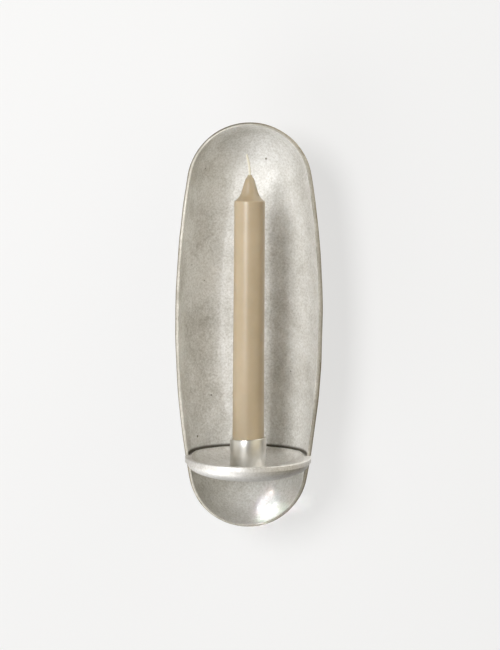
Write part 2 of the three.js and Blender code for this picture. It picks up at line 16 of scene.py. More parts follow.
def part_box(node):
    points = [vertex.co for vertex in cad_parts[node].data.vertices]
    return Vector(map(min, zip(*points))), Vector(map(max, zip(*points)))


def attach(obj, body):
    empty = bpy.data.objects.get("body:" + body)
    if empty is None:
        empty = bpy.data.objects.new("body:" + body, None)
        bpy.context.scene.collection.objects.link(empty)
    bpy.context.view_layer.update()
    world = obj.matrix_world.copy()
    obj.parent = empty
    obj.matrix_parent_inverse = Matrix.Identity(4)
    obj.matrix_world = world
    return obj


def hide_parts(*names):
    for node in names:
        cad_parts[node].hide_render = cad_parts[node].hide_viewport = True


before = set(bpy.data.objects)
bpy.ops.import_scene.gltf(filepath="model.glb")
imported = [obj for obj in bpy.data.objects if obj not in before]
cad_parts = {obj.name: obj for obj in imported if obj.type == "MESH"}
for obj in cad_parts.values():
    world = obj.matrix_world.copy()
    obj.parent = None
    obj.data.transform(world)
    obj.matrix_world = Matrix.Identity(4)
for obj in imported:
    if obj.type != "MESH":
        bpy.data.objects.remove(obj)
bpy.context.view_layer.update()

# %% [markdown]
# ## Working in millimetres
# Blender works in metres and a maker of small castings thinks in millimetres, so one function turns one into
# the other. The places of the pieces come from the boxes of the CAD nodes.


# %% Millimetres and places
def mm(length):
    return length / 1000


def middle(node):
    low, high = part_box(node)
    return (low + high) / 2


dish_low, dish_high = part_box("back_dish")
RIM_Y = dish_low.y
DISH_Z = (dish_low.z + dish_high.z) / 2
HALF_LENGTH = (dish_high.z - dish_low.z) / 2
HALF_WIDTH = mm(51.4)
AXIS_Y = middle("candle_cup").y
TRAY_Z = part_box("drip_tray")[1].z
print("rim plane", round(RIM_Y, 4), "dish middle", round(DISH_Z, 4))
print("candle axis", round(AXIS_Y, 4), "bowl edge", round(TRAY_Z, 4))

# %% [markdown]
# ## The camera
# A small wall object is photographed from straight in front, from a little above, with a long lens, so that
# its outline is hardly distorted. The camera stands 1.15 m away, looks down 5.5 degrees and leans by a
# third of a degree, as a camera on a tripod easily does.

# %% Camera
LOOK_DOWN, LEAN = radians(5.5), 0.0064
camera = bpy.data.objects.new("camera", bpy.data.cameras.new("camera"))
bpy.context.scene.collection.objects.link(camera)
camera.data.sensor_width = 36
camera.data.lens = 88.6154
camera.location = (mm(0.754), mm(-1152.9), mm(22.6))
tilt = Matrix.Rotation(radians(90) - LOOK_DOWN, 3, "X") @ Matrix.Rotation(LEAN, 3, "Z")
camera.rotation_euler = tilt.to_euler()
bpy.context.scene.camera = camera
print("lens", round(camera.data.lens, 2), "mm at", [round(c, 3) for c in camera.location])

# %% [markdown]
# ## Colours and nodes
# A colour is written as a hex value, as a paint chart or a drawing program gives it. Those values are sRGB,
# and Blender's sockets want linear light, so one function converts them. Another adds one node with its
# settings and its links, which is all that a material needs.


# %% Colour and node helpers
def linear(code):
    """A hex value as linear light, with an alpha of 1."""
    channels = [int(code[i : i + 2], 16) / 255 for i in (1, 3, 5)]
    return (*[c / 12.92 if c <= 0.04045 else ((c + 0.055) / 1.055) ** 2.4 for c in channels], 1)


def add(tree, kind, settings=(), **links):
    """One node. `settings` go to its properties or sockets, `links` say which output feeds which input."""
    node = tree.nodes.new(kind)
    for name, value in dict(settings).items():
        if isinstance(name, int) or name in node.inputs:
            node.inputs[name].default_value = value
        else:
            setattr(node, name, value)
    for name, output in links.items():
        socket = node.inputs[int(name[1:])] if name[0] == "_" else node.inputs[name.replace("_", " ")]
        tree.links.new(output, socket)
    return node


def material(name, **settings):
    """A new material with a bare shader, and its object coordinates."""
    made = bpy.data.materials.new(name)
    made.use_nodes = True
    tree = made.node_tree
    tree.nodes.clear()
    plain = {key.replace("_", " "): value for key, value in settings.items()}
    shader = add(tree, "ShaderNodeBsdfPrincipled", plain)
    add(tree, "ShaderNodeOutputMaterial", Surface=shader.outputs["BSDF"])
    place = add(tree, "ShaderNodeTexCoord").outputs["Object"]
    return made, tree, shader, place


# %% [markdown]
# Four kinds of node do nearly all the work: a cloudy pattern, a change of range, a blend of two tones, and
# a bump that tilts the light as small hills would. Each gets a function, so that a finish reads as a short
# list.


# %% Patterns and their uses
def per_mm(size):
    """The scale of a pattern whose marks are this many millimetres apart, on coordinates in metres."""
    return 1000 / size


def clouds(tree, place, size, detail, roughness=0.5, distortion=0.0):
    settings = {"Scale": per_mm(size), "Detail": detail, "Roughness": roughness, "Distortion": distortion}
    return add(tree, "ShaderNodeTexNoise", settings, Vector=place).outputs["Fac"]


def spread(tree, value, start, end, low=0.0, high=1.0, kind="LINEAR"):
    """The value, with start to end stretched to low to high."""
    ends = {"From Min": start, "From Max": end, "To Min": low, "To Max": high}
    stretch = add(tree, "ShaderNodeMapRange", {"interpolation_type": kind, **ends}, Value=value)
    return stretch.outputs["Result"]


def tones(tree, value, first, last, start=0.0, end=1.0):
    """A colour between the first and the last, as the value goes from start to end."""
    ramp = add(tree, "ShaderNodeValToRGB", Fac=value)
    low, high = ramp.color_ramp.elements
    low.position, high.position = start, end
    low.color, high.color = linear(first), linear(last)
    return ramp.outputs["Color"]


def maths(tree, kind, first, second=0.0, **settings):
    """What a kind of sum makes of an output, and of another output or a number."""
    links = {"_0": first} if isinstance(second, float) else {"_0": first, "_1": second}
    numbers = {1: second} if isinstance(second, float) else {}
    return add(tree, "ShaderNodeMath", {"operation": kind, **settings, **numbers}, **links).outputs["Value"]


def blend(tree, share, first, second):
    """The first colour, as a hex value, where the share is 0, and the second where it is 1."""
    mixed = add(tree, "ShaderNodeMixRGB", {"Color1": linear(first)}, Fac=share, Color2=second)
    return mixed.outputs["Color"]


def hills(tree, height, strength, depth, under=None):
    """The normal over hills `depth` mm high, on top of those of an earlier bump."""
    links = {"Height": height, "Normal": under} if under else {"Height": height}
    settings = {"Strength": strength, "Distance": mm(depth)}
    return add(tree, "ShaderNodeBump", settings, **links).outputs["Normal"]


def feed(tree, shader, **outputs):
    """Links outputs to the shader's inputs."""
    for name, output in outputs.items():
        tree.links.new(output, shader.inputs[name.replace("_", " ")])


# %% [markdown]
# ## The wall
# The sconce hangs on a plain, almost white wall. The wall is a stage, so it only has to show itself and the
# sconce's shadow to the camera, and it lets light through from behind, so that the sconce's back can be
# looked at too. Part of its brightness is its own, as if it were lit by lamps of its own, which keeps the
# shadow soft.

# %% Wall
WALL_SIZE, WALL_BACK, WALL_GLOW = 6, mm(0.4), 0.655
bpy.ops.object.select_all(action="DESELECT")
bpy.ops.mesh.primitive_grid_add(
    x_subdivisions=4, y_subdivisions=4, size=WALL_SIZE,
    rotation=(radians(90), 0, 0), location=(0, WALL_BACK, 0),
)
wall = bpy.context.object
wall.name = "wall"
bpy.ops.object.transform_apply(location=True, rotation=True, scale=True)
wall.visible_diffuse = wall.visible_glossy = wall.visible_transmission = wall.visible_shadow = False

paint, tree, shader, place = material("matt white wall paint", Roughness=0.9, Specular_IOR_Level=0.2)
shader.inputs["Base Color"].default_value = linear("#878787")
shader.inputs["Emission Color"].default_value = (1, 1, 1, 1)
shader.inputs["Emission Strength"].default_value = WALL_GLOW
see_through = add(tree, "ShaderNodeBsdfTransparent").outputs["BSDF"]
behind_it = add(tree, "ShaderNodeNewGeometry").outputs["Backfacing"]
one_sided = add(tree, "ShaderNodeMixShader", Fac=behind_it, _1=shader.outputs["BSDF"], _2=see_through)
tree.links.new(one_sided.outputs["Shader"], tree.nodes["Material Output"].inputs["Surface"])
wall.data.materials.append(paint)
print("the wall faces", [round(c) for c in wall.data.polygons[0].normal])

# %% [markdown]
# ## The lamps
# One large soft lamp stands in front, to the left and a little above. It throws the candle's shadow on the
# dish, just to the candle's right. A small card below throws a pool of light into the dish's lower end,
# where the bowl keeps the large lamp out.


# %% Lamps
def towards(right, up):
    """The direction this many degrees to the right of straight in front, and this many degrees up."""
    right, up = radians(right), radians(up)
    return Vector((sin(right) * cos(up), -cos(right) * cos(up), sin(up)))


def lamp(name, target, way, distance, energy, shape, **settings):
    """An area lamp that shines on a target from some way off."""
    made = bpy.data.objects.new(name, bpy.data.lights.new(name, "AREA"))
    bpy.context.scene.collection.objects.link(made)
    made.data.shape, made.data.energy = shape, energy
    for key, value in settings.items():
        setattr(made.data, key, value)
    made.location = target + way * distance
    made.rotation_euler = (-way).to_track_quat("-Z", "Y").to_euler()
    made.visible_camera = False
    print(name, "at", [round(c, 2) for c in made.location])


dish_front = Vector((0, RIM_Y, DISH_Z))
lamp("soft lamp", dish_front, towards(-28, 15), 1.7, 23.5, "ELLIPSE", size=0.6, size_y=0.9)
low_end = Vector((mm(18), mm(-30), mm(-217)))
lamp("small card", low_end, towards(-26, -7), 0.7, 0.0065, "DISK", size=mm(8), spread=radians(2))

# %% [markdown]
# ## The room
# Metal shows little but what it mirrors, so the room matters as much as the lamps. It is dark but for five
# panels with soft edges. Each is brightest in its middle and fades to nothing at its half width, which a dot
# product of two directions gives.

# %% Room
PANELS = (
    # degrees right of the front, degrees up, half width in degrees, strength, colour
    (-67, -50, 40, 3.0, "#FFFFFF"),  # a reflector on the floor, on the left
    (-85, 0, 45, 0.7, "#FFFAEE"),  # the left wall of the room
    (50, 0, 50, 0.75, "#FFF4DA"),  # warm boards, in front and to the right
    (100, 45, 40, 2.7, "#FFFCF6"),  # a window, high on the right
    (180, 10, 78, 0.8, "#FDFDFF"),  # what comes from behind
)
FULLY_LIT = cos(radians(4))
room = bpy.data.worlds.new("studio room")
bpy.context.scene.world = room
room.use_nodes = True
tree = room.node_tree
tree.nodes.clear()
direction = add(tree, "ShaderNodeTexCoord").outputs["Generated"]
all_light = None
for right, up, width, strength, colour in PANELS:
    aimed = {"operation": "DOT_PRODUCT", 1: towards(right, up)}
    facing = add(tree, "ShaderNodeVectorMath", aimed, _0=direction).outputs["Value"]
    fade = spread(tree, facing, cos(radians(width)), FULLY_LIT, high=strength, kind="SMOOTHSTEP")
    panel = add(tree, "ShaderNodeBackground", {"Color": linear(colour)}, Strength=fade).outputs["Background"]
    if all_light:
        panel = add(tree, "ShaderNodeAddShader", _0=all_light, _1=panel).outputs["Shader"]
    all_light = panel
add(tree, "ShaderNodeOutputWorld", Surface=all_light)
bpy.context.scene.view_settings.view_transform = "Standard"
print(len(PANELS), "soft panels in the room")

# %% [markdown]
# ## Sand-cast aluminium
# The sand leaves a fine grain of about a millimetre and a few pits. The hand that rubs the casting down
# leaves broad, soft patches that are a little duller or darker. The metal is the pale, slightly warm grey
# of brushed aluminium, and so rough that it mirrors the room as a haze. A dark line of painted shade runs
# where the bowl meets the dish, and stands in for the shade in the crevice between them.


# %% Cast aluminium
def joint_shade_line(tree, place, joint_z, metal):
    """The metal's colour, with a dark line of painted shade at a height, for the crevice where two parts meet.
    """
    height = add(tree, "ShaderNodeSeparateXYZ", Vector=place).outputs["Z"]
    off = maths(tree, "ABSOLUTE", maths(tree, "SUBTRACT", height, joint_z))
    unshaded = spread(tree, off, mm(0.4), mm(2.2), low=0.12, kind="SMOOTHSTEP")
    # painted shade: #5A5446 is the shade in the crevice, darkest at the joint's height
    return blend(tree, unshaded, "#5A5446", metal)


def cast_aluminium(name, light, dark, roughness, joint_z=None):
    """A cast metal between two tones, with a dark line of painted shade at the height `joint_z` if it is
    given.
    """
    made, tree, shader, place = material(name, Metallic=1)
    patches = clouds(tree, place, 26, 5, roughness=0.62, distortion=0.4)
    grain = clouds(tree, place, 1.5, 3, roughness=0.7)
    smudge = spread(tree, patches, 0.42, 0.72, high=0.55)
    speck = spread(tree, grain, 0.35, 0.68, high=0.6)
    colour = tones(tree, maths(tree, "ADD", smudge, speck, use_clamp=True), light, dark)
    pit = add(tree, "ShaderNodeTexVoronoi", {"Scale": per_mm(9)}, Vector=place).outputs
    thin_out = {"operation": "MULTIPLY_ADD", 1: 0.16}
    few = add(tree, "ShaderNodeMath", thin_out, _0=pit["Color"], _2=pit["Distance"])
    hole = spread(tree, few.outputs["Value"], 0.06, 0.12)
    colour = blend(tree, hole, "#857F72", colour)
    # painted shade: a dark line where the bowl meets the dish, standing in for the shade in their crevice
    if joint_z is not None:
        colour = joint_shade_line(tree, place, joint_z, colour)
    dull = spread(tree, patches, 0.3, 0.75, low=roughness - 0.05, high=roughness + 0.12)
    soft = hills(tree, clouds(tree, place, 9, 2), 0.22, 0.4)
    fine = hills(tree, grain, 0.7, 0.14, under=soft)
    sunk = hills(tree, hole, 0.6, 0.15, under=fine)
    feed(tree, shader, Base_Color=colour, Roughness=dull, Normal=sunk)
    return made


# partly painted shade: the outside's darker, browner tones stand for its as-cast skin and for the shade where
# the rim turns back to the wall
outer_metal_and_shade = cast_aluminium("sand-cast aluminium, as cast, with painted shade", "#B9B2A2", "#8B8270", 0.62)
# painted shade: the rim's front is a darker copy of the inside's metal, which dims its bright reflection
rim_metal_shaded = cast_aluminium("sand-cast aluminium, filed", "#D2CFC7", "#B0ACA1", 0.6)
dish_metal = cast_aluminium("sand-cast aluminium, rubbed down", "#FBFBFA", "#D2D0CA", 0.68, joint_z=TRAY_Z)
tray_metal = cast_aluminium("sand-cast aluminium, filed and rubbed", "#F4F3F1", "#D4D1CB", 0.62)
print("cast metals:", ", ".join(m.name for m in (outer_metal_and_shade, rim_metal_shaded, dish_metal, tray_metal)))

# %% [markdown]
# ## Turned aluminium
# The cup comes off a lathe. The cutting tool leaves rings round it, much finer than a millimetre, which
# spread a highlight sideways. They are drawn almost a millimetre apart here, as fine as a view of the whole
# sconce can show. A pattern squeezed to almost nothing across the cup makes rings out of clouds.

# %% Turned aluminium
MARKS_APART = 0.9
cup_metal, tree, shader, place = material("turned aluminium, brushed", Metallic=1)
squeezed = add(tree, "ShaderNodeMapping", {"Scale": (0.06, 0.06, 1)}, Vector=place).outputs["Vector"]
marks = clouds(tree, squeezed, MARKS_APART, 3, roughness=0.6)
colour = tones(tree, clouds(tree, place, 11, 4), "#FAFAF8", "#E6E3DA", start=0.3, end=0.75)
dull = spread(tree, marks, 0, 1, low=0.26, high=0.42)
feed(tree, shader, Base_Color=colour, Roughness=dull, Normal=hills(tree, marks, 0.5, 0.06))
print("marks on the cup, mm apart:", MARKS_APART)

# %% [markdown]
# ## Zinc-plated steel
# The screws, washers and hanger plate are bought in. Zinc plating is a cool grey with faint cloudy patches,
# and it is a little shinier than the cast metal.

# %% Zinc-plated steel
zinc, tree, shader, place = material("zinc-plated steel", Metallic=1)
cloud = clouds(tree, place, 4, 4)
colour = tones(tree, cloud, "#C9CCD0", "#A4A7AB", start=0.35, end=0.7)
dull = spread(tree, cloud, 0, 1, low=0.28, high=0.44)
grain = hills(tree, clouds(tree, place, 0.7, 2), 0.3, 0.03)
feed(tree, shader, Base_Color=colour, Roughness=dull, Normal=grain)
print(zinc.name)

# %% [markdown]
# ## Candle wax
# A dinner candle is pressed from dyed wax. Light goes a few millimetres into it and comes out again warmer,
# which the shader's subsurface does. Its skin is slightly cloudy, and a thin coat gives the soft sheen of
# wax that was polished by its mould.

# %% Wax
wax, tree, shader, place = material(
    "dyed candle wax, pressed", Roughness=0.4, IOR=1.5, Coat_Weight=0.6, Coat_Roughness=0.34,
    Subsurface_Weight=0.35, Subsurface_Radius=(1.0, 0.62, 0.36), Subsurface_Scale=mm(4),
)
colour = tones(tree, clouds(tree, place, 16, 3), "#BAA98E", "#B09F83", start=0.3, end=0.75)
feed(tree, shader, Base_Color=colour, Normal=hills(tree, clouds(tree, place, 3, 3), 0.25, 0.12))
print(wax.name)

# %% [markdown]
# ## Cotton and rubber
# The wick is plaited cotton, undyed and matt, with fibres that stand a little proud. The bumpers are moulded
# black rubber, dull and slightly dusty.

# %% Cotton
cotton, tree, shader, place = material("plaited cotton", Roughness=0.92, Sheen_Weight=0.3)
fibres = clouds(tree, place, 0.45, 3)
colour = tones(tree, fibres, "#CFC6AE", "#FBF8EE")
feed(tree, shader, Base_Color=colour, Normal=hills(tree, fibres, 0.7, 0.1))

# %% Rubber
rubber, tree, shader, place = material("moulded rubber")
dust = clouds(tree, place, 2.2, 4)
colour = tones(tree, dust, "#232221", "#42403D", start=0.4, end=0.8)
dull = spread(tree, dust, 0, 1, low=0.65, high=0.85)
feed(tree, shader, Base_Color=colour, Roughness=dull, Normal=hills(tree, dust, 0.4, 0.08))
print(cotton.name, "and", rubber.name)

# %% [markdown]
# ## Tools for the bench
# Every piece starts as one point, which is pulled, spun, inset and extruded into shape. An editing tool
# works on what is selected. So one function takes up the pieces to work on, another starts a new one, and a
# third picks parts of it by their place or by the way a face looks.


# %% Taking, starting, picking and finishing
def take(piece, *others, mode="OBJECT"):
    """Selects a piece, and others with it, makes it the active one and enters a mode."""
    leave_edit()
    bpy.ops.object.select_all(action="DESELECT")
    for each in (piece, *others):
        each.select_set(True)
    bpy.context.view_layer.objects.active = piece
    bpy.ops.object.mode_set(mode=mode)


def leave_edit():
    if bpy.context.object and bpy.context.object.mode == "EDIT":
        bpy.ops.object.mode_set(mode="OBJECT")


def select_all():
    bpy.ops.mesh.select_all(action="SELECT")


def edit_mesh():
    return bmesh.from_edit_mesh(bpy.context.object.data)


def begin(name, place):
    """A new object at the origin that holds a single point, in edit mode."""
    leave_edit()
    bpy.ops.object.select_all(action="DESELECT")
    bpy.ops.mesh.primitive_plane_add(size=mm(1))
    piece = bpy.context.object
    piece.name = piece.data.name = name
    bpy.ops.object.mode_set(mode="EDIT")
    bpy.ops.mesh.select_mode(type="VERT")
    select_all()
    bpy.ops.mesh.merge(type="CENTER")
    bpy.ops.transform.translate(value=place)
    return piece


def pick(kind, test):
    """Selects the vertices, edges or faces that pass a test of their centre and themselves."""
    bpy.ops.mesh.select_mode(type=kind)
    bpy.ops.mesh.select_all(action="DESELECT")
    mesh = edit_mesh()
    parts = {"VERT": mesh.verts, "EDGE": mesh.edges, "FACE": mesh.faces}[kind]
    found = 0
    for part in parts:
        corners = [part.co] if kind == "VERT" else [v.co for v in part.verts]
        if test(sum(corners, Vector()) / len(corners), part):
            part.select_set(True)
            found += 1
    mesh.select_flush_mode()
    bmesh.update_edit_mesh(bpy.context.object.data)
    return found


def tidy_mesh():
    """Merges what lies on itself and turns all faces outwards."""
    select_all()
    bpy.ops.mesh.remove_doubles(threshold=mm(0.004))
    bpy.ops.mesh.normals_make_consistent(inside=False)


def modify(piece, kind, **settings):
    """Adds a modifier with its settings and applies it."""
    leave_edit()
    modifier = piece.modifiers.new(kind.title(), kind)
    for name, value in settings.items():
        setattr(modifier, name, value)
    bpy.context.view_layer.objects.active = piece
    bpy.ops.object.modifier_apply(modifier=modifier.name)


def combine(piece, tool, operation):
    """Adds a tool's shape to a piece or cuts it out, and removes the tool."""
    modify(piece, "BOOLEAN", operation=operation, object=tool, solver="EXACT")
    bpy.data.objects.remove(tool)


def done(piece, look, body, slot, *nodes, smooth=32):
    """Smooths the shading, gives the finish if one is given, and lets the piece stand for its CAD nodes."""
    take(piece)
    bpy.ops.object.shade_smooth_by_angle(angle=radians(smooth))
    if look:
        piece.data.materials.clear()
        piece.data.materials.append(look)
    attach(piece, body)
    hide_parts(*nodes)
    places = [v.co for v in piece.data.vertices]
    size = [round(1000 * (max(c[i] for c in places) - min(c[i] for c in places)), 1) for i in range(3)]
    print(piece.name, len(piece.data.polygons), "faces, mm:", size)


# %% [markdown]
# ## Turning
# The cup, the candle, the screws, the washers and the bumpers are all round, as if from a lathe. Half of the
# section is drawn by extruding a point from corner to corner, and a spin sweeps it round the axis. Where the
# axis runs from front to back, the finished shape is laid over.


# %% Turned shapes
def turned(name, section, centre, along="Z", steps=64):
    """`section` lists (radius, height) in mm, from below. Spun about Z, it may then be laid over."""
    (radius, height), *rest = section
    piece = begin(name, (mm(radius), 0, mm(height)))
    for next_radius, next_height in rest:
        step = (mm(next_radius - radius), 0, mm(next_height - height))
        bpy.ops.mesh.extrude_region_move(TRANSFORM_OT_translate={"value": step})
        radius, height = next_radius, next_height
    select_all()
    bpy.ops.mesh.spin(steps=steps, angle=2 * pi, center=(0, 0, 0), axis=(0, 0, 1))
    tidy_mesh()
    if along != "Z":
        lay = radians(90 if along == "back" else -90)
        bpy.ops.transform.rotate(value=lay, orient_axis="X", center_override=(0, 0, 0))
    bpy.ops.transform.translate(value=centre)
    return piece


def round_corners(radius, segments=3, sharper_than=30):
    """Rounds every edge that is sharper than an angle."""
    bpy.ops.mesh.select_mode(type="EDGE")
    bpy.ops.mesh.select_all(action="DESELECT")
    bpy.ops.mesh.edges_select_sharp(sharpness=radians(sharper_than))
    bpy.ops.mesh.bevel(offset=mm(radius), segments=segments, profile=0.5, affect="EDGES", clamp_overlap=True)


# %% [markdown]
# ## The dish
# The outline is an oval of four arcs: a long one for each side and a short, nearly half-round one for each
# end. One point is spun about each of the four centres in turn. The face that fills the outline is then
# inset again and again, each time a little further back, so that it sinks into the shape of a bowl with
# steep sides and an almost flat back. The steps follow a superellipse, which is the section that such a
# casting has: it leaves the sand easily and has no thin places.

# %% The oval's arcs
WIDEST_UP = mm(3.5)
WIDEST_Z = DISH_Z + WIDEST_UP
TOP_RADIUS = mm(43.5)
top_centre_z = DISH_Z + HALF_LENGTH - TOP_RADIUS
rise = top_centre_z - WIDEST_Z
SIDE_RADIUS = (HALF_WIDTH**2 + rise**2 - TOP_RADIUS**2) / (2 * (HALF_WIDTH - TOP_RADIUS))
side_centre = SIDE_RADIUS - HALF_WIDTH
reach_down = HALF_LENGTH + WIDEST_UP
LOW_RADIUS = (SIDE_RADIUS**2 - side_centre**2 - reach_down**2) / (2 * (SIDE_RADIUS - reach_down))
low_centre_z = DISH_Z - HALF_LENGTH + LOW_RADIUS
top_turn = atan2(rise, side_centre)
low_turn = atan2(WIDEST_Z - low_centre_z, side_centre)
END_STEPS, SIDE_STEPS = 34, 46
arcs = (
    ((0, low_centre_z), pi - 2 * low_turn, END_STEPS),
    ((-side_centre, WIDEST_Z), low_turn + top_turn, SIDE_STEPS),
    ((0, top_centre_z), pi - 2 * top_turn, END_STEPS),
    ((side_centre, WIDEST_Z), low_turn + top_turn, SIDE_STEPS),
)
print("radii, mm:", [round(1000 * radius, 1) for radius in (TOP_RADIUS, SIDE_RADIUS, LOW_RADIUS)])


# %% A sunk oval
SECTION_POWER, LAST_TURN = 2.4, radians(73)
SINKING_STEPS = 18
CLOSER_AT_RIM = 1.15  # above 1, the first steps are smaller than the last
RIM_WIDTH, WALL, DEPTH = mm(3.3), mm(3.4), mm(41)
CURVE_REACH = mm(43.5)
END_RISE = mm(2.5)


def sunk_oval(name, inset, thickness):
    """One skin of the dish, sunk from an oval that lies `inset` inside the outline."""
    radius = LOW_RADIUS - inset
    piece = begin(name, (-radius * cos(low_turn), RIM_Y, low_centre_z - radius * sin(low_turn)))
    for (x, z), turn, count in arcs:
        bpy.ops.mesh.spin(steps=count, angle=turn, center=(x, RIM_Y, z), axis=(0, 1, 0))
    select_all()
    bpy.ops.mesh.remove_doubles(threshold=mm(0.01))
    bpy.ops.mesh.edge_face_add()
    if pick("FACE", lambda centre, face: face.normal.y < 0):
        bpy.ops.mesh.flip_normals()
    pick("FACE", lambda centre, face: True)
    power = 2 / SECTION_POWER
    across = back = 0
    for step in range(1, SINKING_STEPS + 1):
        turn = LAST_TURN * (step / SINKING_STEPS) ** CLOSER_AT_RIM
        next_across = (CURVE_REACH + thickness) * (1 - cos(turn) ** power)
        next_back = (DEPTH + thickness) * sin(turn) ** power
        bpy.ops.mesh.inset(thickness=next_across - across, depth=next_back - back, use_even_offset=True)
        across, back = next_across, next_back
    return piece, RIM_Y + back


# %% [markdown]
# The insets stop before the flat middle, because there the oval's ends would run into each other. A grid
# fills the rest. Proportional editing then moves what lies near the selection with it, less and less with
# distance: the floor's middle goes back a little, so that it is gently crowned, and both ends come forward,
# so that the dish is deepest half way up.


# %% The floor of a skin
LOW_CORNER = mm(6.5)  # how far left of the middle the grid's first corner lies
CROWN_HALF_WIDTH, CROWN_REACH = mm(4), mm(19)


def close_floor(floor, thickness):
    """Fills a skin from the last inset on, and shapes the fill. Gives the depth of its deepest point."""
    bpy.ops.mesh.delete(type="ONLY_FACE")
    pick("VERT", lambda centre, v: abs(centre.y - floor) < mm(0.01))
    mesh = edit_mesh()
    ring = [v for v in mesh.verts if v.select]
    corner = min(ring, key=lambda v: hypot(v.co.x + LOW_CORNER, v.co.z - low_centre_z))
    mesh.select_history.clear()
    mesh.select_history.add(corner)
    bmesh.update_edit_mesh(bpy.context.object.data)
    bpy.ops.mesh.fill_grid(span=END_STEPS, offset=0, use_interp_simple=True)
    deepest = RIM_Y + DEPTH + thickness
    behind = floor - mm(0.5)
    pick(
        "VERT",
        lambda at, v: abs(at.x) < CROWN_HALF_WIDTH and low_centre_z < at.z < top_centre_z and at.y > behind,
    )
    bpy.ops.transform.translate(
        value=(0, deepest - floor, 0), use_proportional_edit=True,
        proportional_edit_falloff="SMOOTH", proportional_size=CROWN_REACH,
    )
    pick("VERT", lambda at, v: not low_centre_z < at.z < top_centre_z)
    bpy.ops.transform.resize(
        value=(1, 1 - END_RISE / (DEPTH + thickness), 1), center_override=(0, RIM_Y, 0),
        use_proportional_edit=True, proportional_edit_falloff="SHARP", proportional_size=rise,
    )
    leave_edit()
    return deepest


inner, floor = sunk_oval("inner_skin", RIM_WIDTH, 0)
print("inner floor at", round(1000 * close_floor(floor, 0), 2))
outer, floor = sunk_oval("cast_dish", 0, WALL)
print("outer floor at", round(1000 * close_floor(floor, WALL), 2))

# %% [markdown]
# ## The rim
# The dish's two skins are joined and their edges bridged, which makes the flat of the rim. A hand-finished
# rim is never even: this one is a little narrower at its ends and on its left. Its outer edge is well
# rounded, because sand won't hold a sharp one, and its inner edge is left crisp.

# %% Join the skins
NARROW_END, LEFT_SHIFT = mm(2.5), mm(-0.3)
take(inner, mode="EDIT")
select_all()
taller = (HALF_LENGTH - NARROW_END) / (HALF_LENGTH - RIM_WIDTH)
bpy.ops.transform.resize(value=(1, 1, taller), center_override=(0, RIM_Y, DISH_Z))
bpy.ops.transform.translate(value=(LEFT_SHIFT, 0, 0))
bpy.ops.mesh.flip_normals()
leave_edit()

bpy.ops.object.duplicate(linked=False)
tracing = bpy.context.object
tracing.name = "tracing"

take(outer, inner)
bpy.ops.object.join()
dish = outer
take(dish, mode="EDIT")
print("rim edges", pick("EDGE", lambda centre, edge: edge.is_boundary))
bpy.ops.mesh.bridge_edge_loops()
tidy_mesh()


# %% Round the rim
OUTER_ROUND, INNER_ROUND = mm(2.1), mm(0.3)


def on_rim(edge):
    """True for one of the rim's two sharp edges."""
    return all(abs(v.co.y - RIM_Y) < mm(0.01) for v in edge.verts) and abs(edge.calc_face_angle(0)) > 1


def faces_outwards(centre, edge):
    """True if a face beside the edge looks away from the dish's middle."""
    out = Vector((centre.x, 0, centre.z - DISH_Z))
    return any(face.normal.dot(out) > mm(1) for face in edge.link_faces)


print("outer edge", pick("EDGE", lambda centre, edge: on_rim(edge) and faces_outwards(centre, edge)))
bpy.ops.mesh.bevel(offset=OUTER_ROUND, segments=6, profile=0.5, affect="EDGES")
print("inner edge", pick("EDGE", lambda centre, edge: on_rim(edge) and not faces_outwards(centre, edge)))
bpy.ops.mesh.bevel(offset=INNER_ROUND, segments=2, profile=0.5, affect="EDGES")

# %% [markdown]
# ## The hand in a casting
# A pattern carved by hand, rammed sand and an hour of rubbing down leave no surface truly even. A displace
# modifier with a cloud texture gives the skins a slow wave of a few tenths of a millimetre, always into the
# metal.


# %% Slow waves
def uneven(piece, wave, height):
    """Sinks the surface by up to a height, in waves of a length, both in mm."""
    waves = bpy.data.textures.new(piece.name + " waves", "CLOUDS")
    waves.noise_scale = mm(wave)
    waves.noise_depth = 1
    modify(piece, "DISPLACE", texture=waves, mid_level=1, strength=mm(height), texture_coords="LOCAL")


uneven(dish, 24, 0.7)
print("faces after the waves:", len(dish.data.polygons))

# %% [markdown]
# ## Pads on the back
# What is screwed to a casting sits on a pad that is cast with it. The pads behind the dish carry the hanger
# plate, the rubber bumpers and the tray's screws. Each is turned with a flared root, as a casting has, and
# a Boolean modifier adds it to the wall.


# %% Copies and pads
def copy_of(piece, name, shift):
    """A copy with its own mesh, moved to its place."""
    take(piece)
    bpy.ops.object.duplicate(linked=False)
    twin = bpy.context.object
    twin.name = twin.data.name = name
    bpy.ops.transform.translate(value=shift)
    bpy.ops.object.transform_apply(location=True, rotation=True, scale=True)
    return twin


def pair(piece, spacing):
    """The piece, which is on the left, and its copy on the right, as one object."""
    take(piece, copy_of(piece, piece.name + "_right", (mm(spacing), 0, 0)))
    bpy.ops.object.join()
    return piece


def pad(radius, root, face, x, z):
    """A round pad from inside the wall to its machined face, all in mm."""
    tall = face - root
    flare = [(radius + 2.2, 0), (radius + 1.5, 1.9), (radius + 0.8, 2.6), (radius + 0.3, 3.5), (radius, 4.8)]
    section = [(0, 0), *flare, (radius, tall - 0.3), (radius - 0.3, tall), (0, tall)]
    return pair(turned("pad", section, (mm(x), mm(root), mm(z)), along="back", steps=40), -2 * x)


def drill(radius, start, stop, x, z, steps=24):
    """A cylinder along the depth, as a cutter, and its twin on the other side if it is off the middle."""
    section = [(0, 0), (radius, 0), (radius, stop - start), (0, stop - start)]
    shape = turned("drill", section, (mm(x), mm(start), mm(z)), along="back", steps=steps)
    return pair(shape, -2 * x) if x else shape


PLATE_SCREW_X, PLATE_SCREW_Z = (1000 * c for c in middle("hanger_screw_left").xz)
BUMPER_X, BUMPER_Z = (1000 * c for c in middle("wall_bumper_left").xz)
TRAY_SCREW_X, TRAY_SCREW_Z = (1000 * c for c in middle("tray_screw_left").xz)
print("pads at, mm:", (PLATE_SCREW_X, PLATE_SCREW_Z), (BUMPER_X, BUMPER_Z), (TRAY_SCREW_X, TRAY_SCREW_Z))

